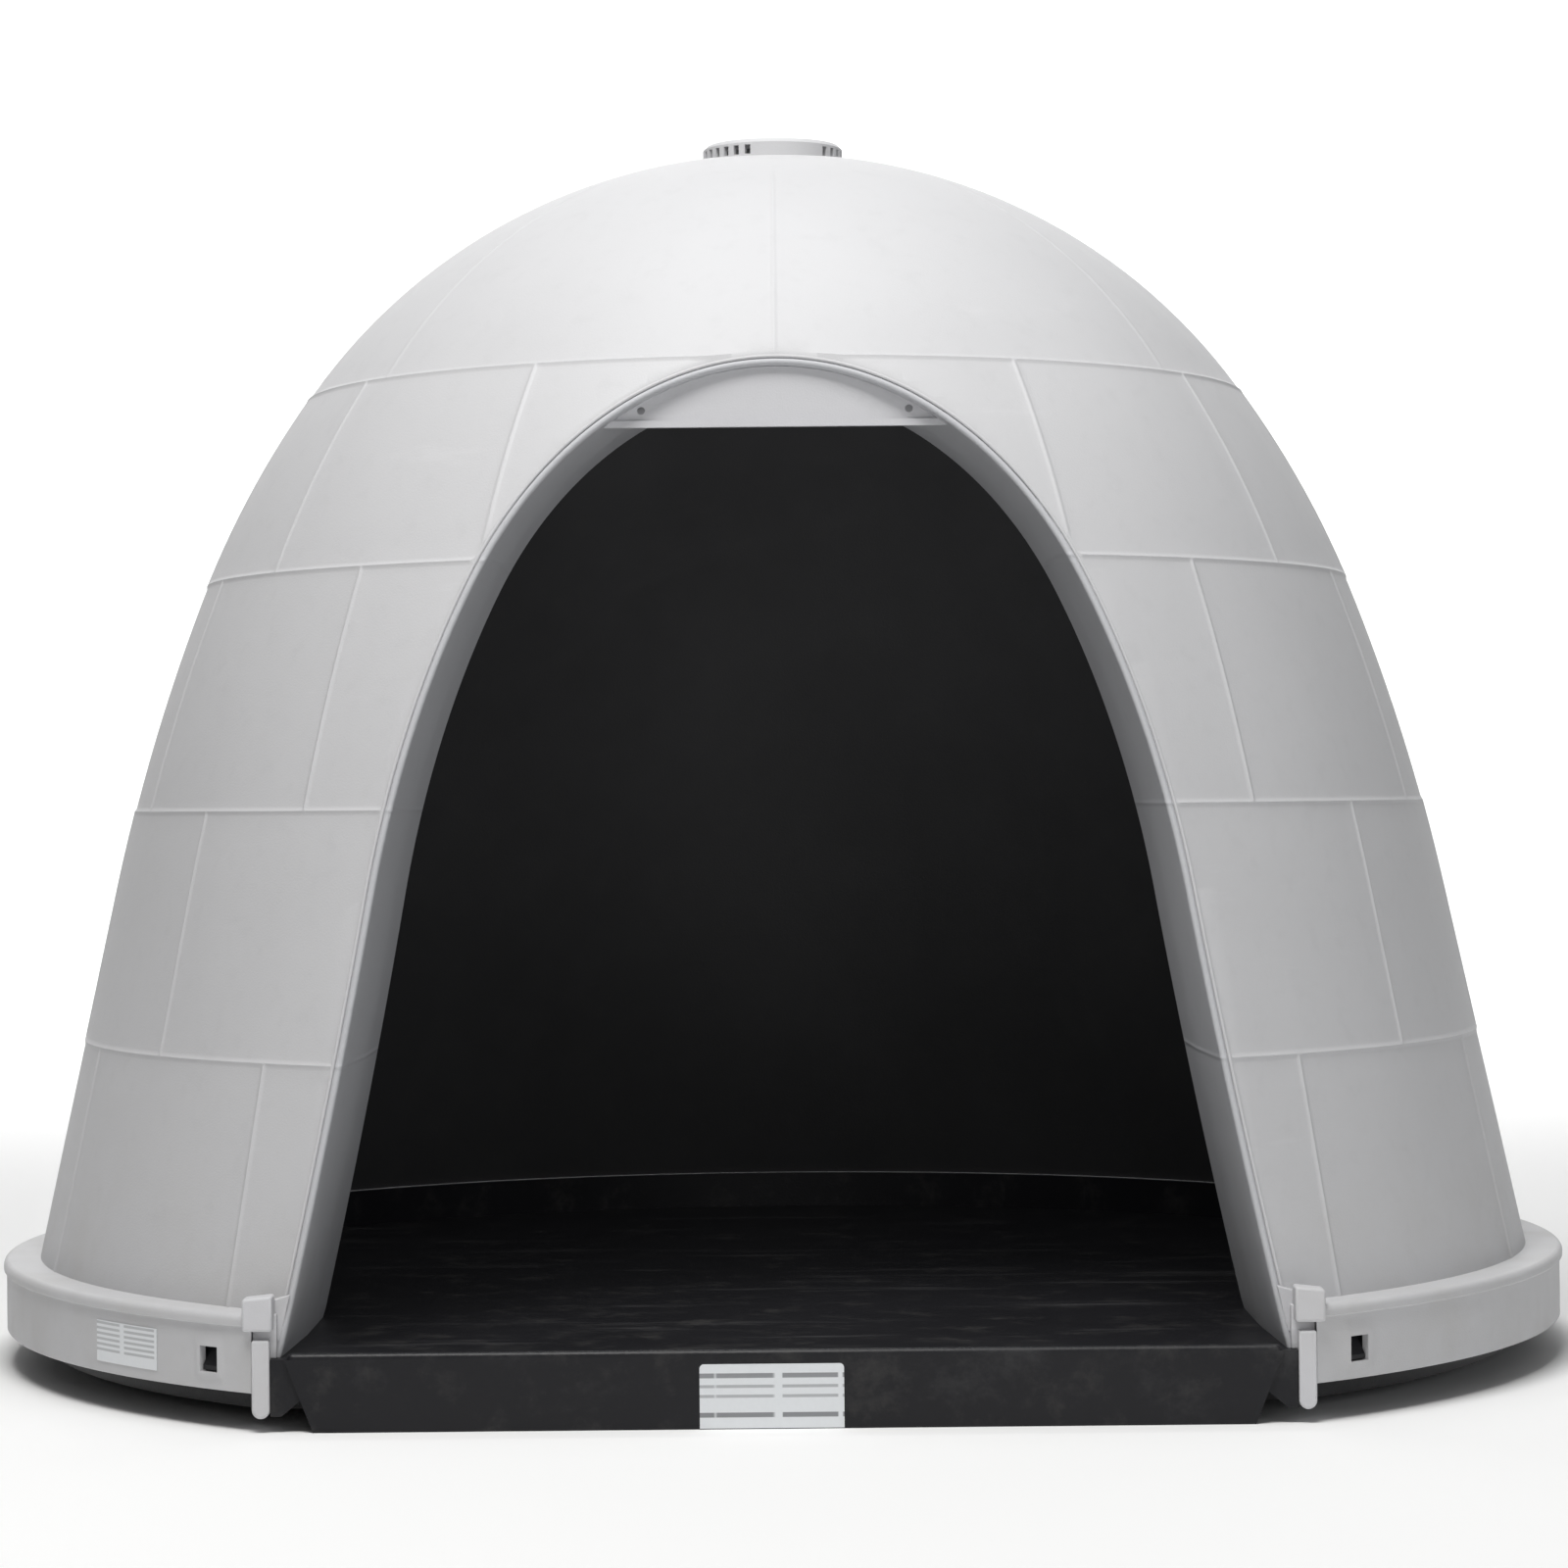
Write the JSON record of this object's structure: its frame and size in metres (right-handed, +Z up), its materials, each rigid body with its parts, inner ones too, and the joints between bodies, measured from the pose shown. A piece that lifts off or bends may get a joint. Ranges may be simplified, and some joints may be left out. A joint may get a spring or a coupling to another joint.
{
  "type": "domed animal hutch",
  "caption": "Moulded dome shelter with a deep arched doorway, a separate raised floor tray and a turning roof vent, for a calf or other small stock.",
  "frame": {"origin": "on the dome's axis at ground level, in the middle of the tray's plinth", "axes": "+Z up along the dome's axis, -Y out of the doorway, +X to the right as seen from in front"},
  "size_m": [1.0032, 0.9062, 0.7783],
  "materials": {
    "dome_plastic": "satin light grey moulded plastic",
    "frame_plastic": "satin light grey moulded plastic",
    "tray_plastic": "scuffed black moulded plastic",
    "tab_plastic": "black moulded plastic",
    "vent_plastic": "satin light grey moulded plastic",
    "label_paper": "white paper label under clear film"
  },
  "bodies": {
    "shelter": {"dome_shell": "dome_plastic", "doorway_frame": "frame_plastic", "door_header": "frame_plastic", "floor_tray": "tray_plastic", "vent_neck": "vent_plastic", "vent_clip": "vent_plastic", "skirt_label": "label_paper", "tray_label": "label_paper"},
    "vent_cap": {"vent_cap": "vent_plastic"},
    "tab_front_left": {"snap_tab_front_left": "tab_plastic"},
    "tab_front_right": {"snap_tab_front_right": "tab_plastic"},
    "tab_rear_left": {"snap_tab_rear_left": "tab_plastic"},
    "tab_rear_right": {"snap_tab_rear_right": "tab_plastic"}
  },
  "joints": [
    {"name": "vent_turn", "type": "hinge", "parent": "shelter", "child": "vent_cap", "pos_m": [0, 0, 0.77], "axis": [0, 0, 1], "range_deg": [0, 60]},
    {"name": "tab_front_left_press", "type": "hinge", "parent": "shelter", "child": "tab_front_left", "pos_m": [-0.31943, -0.37269, 0.0555], "axis": [0.7593, -0.6508, 0], "range_deg": [0, 12], "stiffness_Nm_per_rad": 0.6},
    {"name": "tab_front_right_press", "type": "hinge", "parent": "shelter", "child": "tab_front_right", "pos_m": [0.31943, -0.37269, 0.0555], "axis": [0.7593, 0.6508, 0], "range_deg": [0, 12], "stiffness_Nm_per_rad": 0.6},
    {"name": "tab_rear_left_press", "type": "hinge", "parent": "shelter", "child": "tab_rear_left", "pos_m": [-0.31943, 0.37269, 0.0555], "axis": [-0.7593, -0.6508, 0], "range_deg": [0, 12], "stiffness_Nm_per_rad": 0.6},
    {"name": "tab_rear_right_press", "type": "hinge", "parent": "shelter", "child": "tab_rear_right", "pos_m": [0.31943, 0.37269, 0.0555], "axis": [-0.7593, 0.6508, 0], "range_deg": [0, 12], "stiffness_Nm_per_rad": 0.6}
  ]
}
